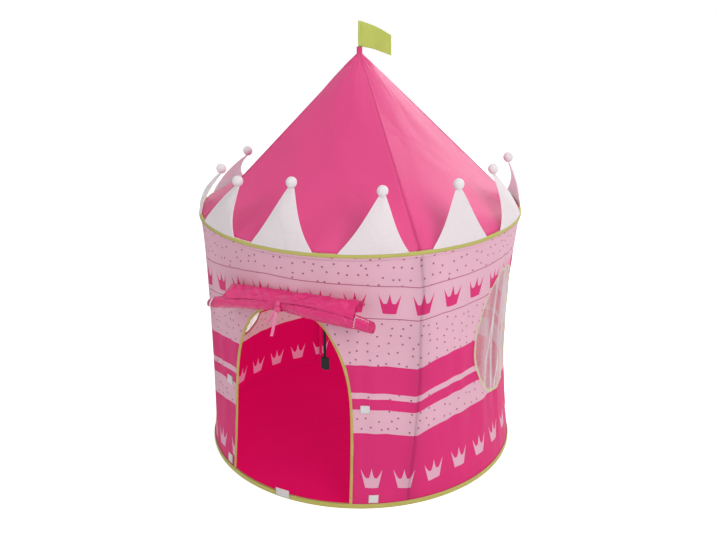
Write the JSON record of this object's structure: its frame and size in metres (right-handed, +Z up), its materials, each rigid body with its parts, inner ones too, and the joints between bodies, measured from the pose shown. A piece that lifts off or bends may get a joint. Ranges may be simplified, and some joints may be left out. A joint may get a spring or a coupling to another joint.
{
  "type": "kids play tent",
  "caption": "Round play tent like a castle turret: hooped cloth walls, arched door, net windows, pointed roof on folding poles, padded crown points and a small flag",
  "frame": {"origin": "middle of the floor's underside, where the tent rests on the ground", "axes": "Z up towards the flag; the door faces -Y; X to the right as seen from the door, through the two net windows"},
  "size_m": [1.05, 1.0804, 1.4106],
  "materials": {
    "printed_cloth": "matte",
    "roof_cloth": "satin",
    "floor_cloth": "matte",
    "flap_satin": "satin",
    "lime_tape": "matte",
    "flag_cloth": "matte",
    "window_net": "matte",
    "crown_cloth": "satin",
    "black_webbing": "matte",
    "spring_steel": "satin",
    "pole_fibreglass": "satin",
    "black_sleeve": "satin",
    "black_plastic": "satin"
  },
  "bodies": {
    "tent_base": {"floor": "floor_cloth", "base_hoop": "spring_steel", "base_binding": "lime_tape", "wall_front": "printed_cloth", "wall_right": "printed_cloth", "wall_back": "printed_cloth", "wall_left": "printed_cloth", "door_binding": "lime_tape", "window_binding_right": "lime_tape", "window_binding_left": "lime_tape", "window_net_right": "window_net", "window_net_left": "window_net", "pole_pocket_1": "black_webbing", "pole_pocket_2": "black_webbing", "pole_pocket_3": "black_webbing", "pole_pocket_4": "black_webbing"},
    "pole_1_lower": {"pole_lower_1": "pole_fibreglass"},
    "pole_1_upper": {"pole_upper_1": "pole_fibreglass", "knee_sleeve_1": "black_sleeve"},
    "eaves": {"eaves_hoop": "spring_steel", "eaves_binding": "lime_tape", "roof_gore_front": "roof_cloth", "roof_gore_right": "roof_cloth", "roof_gore_back": "roof_cloth", "roof_gore_left": "roof_cloth", "roof_pole_1": "pole_fibreglass", "roof_pole_2": "pole_fibreglass", "roof_pole_3": "pole_fibreglass", "roof_pole_4": "pole_fibreglass", "elbow_1": "black_sleeve", "elbow_2": "black_sleeve", "elbow_3": "black_sleeve", "elbow_4": "black_sleeve", "apex_hub": "black_plastic", "crown_point_01": "crown_cloth", "crown_point_02": "crown_cloth", "crown_point_03": "crown_cloth", "crown_point_04": "crown_cloth", "crown_point_05": "crown_cloth", "crown_point_06": "crown_cloth", "crown_point_07": "crown_cloth", "crown_point_08": "crown_cloth", "crown_point_09": "crown_cloth", "crown_point_10": "crown_cloth", "crown_point_11": "crown_cloth", "crown_point_12": "crown_cloth"},
    "pole_2_upper": {"pole_upper_2": "pole_fibreglass", "knee_sleeve_2": "black_sleeve"},
    "pole_2_lower": {"pole_lower_2": "pole_fibreglass"},
    "pole_3_upper": {"pole_upper_3": "pole_fibreglass", "knee_sleeve_3": "black_sleeve"},
    "pole_3_lower": {"pole_lower_3": "pole_fibreglass"},
    "pole_4_upper": {"pole_upper_4": "pole_fibreglass", "knee_sleeve_4": "black_sleeve"},
    "pole_4_lower": {"pole_lower_4": "pole_fibreglass"},
    "flag": {"flag": "flag_cloth"},
    "door_flap": {"door_roll": "flap_satin", "roll_tie": "flap_satin"},
    "storage_strap": {"storage_strap": "black_webbing"},
    "strap_buckle": {"strap_buckle": "black_plastic"}
  },
  "joints": [
    {"name": "pole_1_foot", "type": "hinge", "parent": "tent_base", "child": "pole_1_lower", "pos_m": [0.35568, -0.35568, 0.0073], "axis": [-0.7071, -0.7071, 0], "range_deg": [0, 78], "deforming": ["wall_front", "wall_right", "wall_back", "wall_left", "door_binding", "window_binding_right", "window_binding_left", "window_net_right", "window_net_left", "pole_pocket_1", "pole_pocket_2", "pole_pocket_3", "pole_pocket_4", "knee_sleeve_1", "knee_sleeve_2", "knee_sleeve_3", "knee_sleeve_4", "elbow_1", "elbow_2", "elbow_3", "elbow_4"]},
    {"name": "pole_1_knee", "type": "hinge", "parent": "pole_1_lower", "child": "pole_1_upper", "pos_m": [0.35568, -0.35568, 0.42017], "axis": [-0.7071, -0.7071, 0], "range_deg": [-156, 0]},
    {"name": "pole_1_head", "type": "hinge", "parent": "pole_1_upper", "child": "eaves", "pos_m": [0.35568, -0.35568, 0.83303], "axis": [-0.7071, -0.7071, 0], "range_deg": [0, 78]},
    {"name": "pole_2_head", "type": "hinge", "parent": "eaves", "child": "pole_2_upper", "pos_m": [0.35568, 0.35568, 0.83303], "axis": [0.7071, -0.7071, 0], "range_deg": [-78, 0]},
    {"name": "pole_2_knee", "type": "hinge", "parent": "pole_2_upper", "child": "pole_2_lower", "pos_m": [0.35568, 0.35568, 0.42017], "axis": [0.7071, -0.7071, 0], "range_deg": [0, 156]},
    {"name": "pole_3_head", "type": "hinge", "parent": "eaves", "child": "pole_3_upper", "pos_m": [-0.35568, 0.35568, 0.83303], "axis": [0.7071, 0.7071, 0], "range_deg": [-78, 0]},
    {"name": "pole_3_knee", "type": "hinge", "parent": "pole_3_upper", "child": "pole_3_lower", "pos_m": [-0.35568, 0.35568, 0.42017], "axis": [0.7071, 0.7071, 0], "range_deg": [0, 156]},
    {"name": "pole_4_head", "type": "hinge", "parent": "eaves", "child": "pole_4_upper", "pos_m": [-0.35568, -0.35568, 0.83303], "axis": [-0.7071, 0.7071, 0], "range_deg": [-78, 0]},
    {"name": "pole_4_knee", "type": "hinge", "parent": "pole_4_upper", "child": "pole_4_lower", "pos_m": [-0.35568, -0.35568, 0.42017], "axis": [-0.7071, 0.7071, 0], "range_deg": [0, 156]},
    {"name": "flag_swivel", "type": "hinge", "parent": "eaves", "child": "flag", "pos_m": [0, 0, 1.3326], "axis": [0, 0, 1], "continuous": true},
    {"name": "flap_lowering", "type": "slide", "parent": "tent_base", "child": "door_flap", "axis": [0, 0, -1], "range_m": [0, 0.55608]},
    {"name": "strap_swing", "type": "hinge", "parent": "eaves", "child": "storage_strap", "pos_m": [0.112, -0.49968, 0.822], "axis": [1, 0, 0], "range_deg": [0, 78]},
    {"name": "buckle_slide", "type": "slide", "parent": "storage_strap", "child": "strap_buckle", "axis": [0, 0, 1], "range_m": [0, 0.1]}
  ],
  "couplings": [
    {"joint": "pole_1_knee", "follows": "pole_1_foot", "ratio": -2},
    {"joint": "pole_1_head", "follows": "pole_1_foot", "ratio": 1},
    {"joint": "pole_2_head", "follows": "pole_1_foot", "ratio": -1},
    {"joint": "pole_2_knee", "follows": "pole_1_foot", "ratio": 2},
    {"joint": "pole_3_head", "follows": "pole_1_foot", "ratio": -1},
    {"joint": "pole_3_knee", "follows": "pole_1_foot", "ratio": 2},
    {"joint": "pole_4_head", "follows": "pole_1_foot", "ratio": -1},
    {"joint": "pole_4_knee", "follows": "pole_1_foot", "ratio": 2},
    {"joint": "flap_lowering", "follows": "pole_1_foot", "m_per_rad": 0.4081},
    {"joint": "strap_swing", "follows": "pole_1_foot", "ratio": 1}
  ]
}
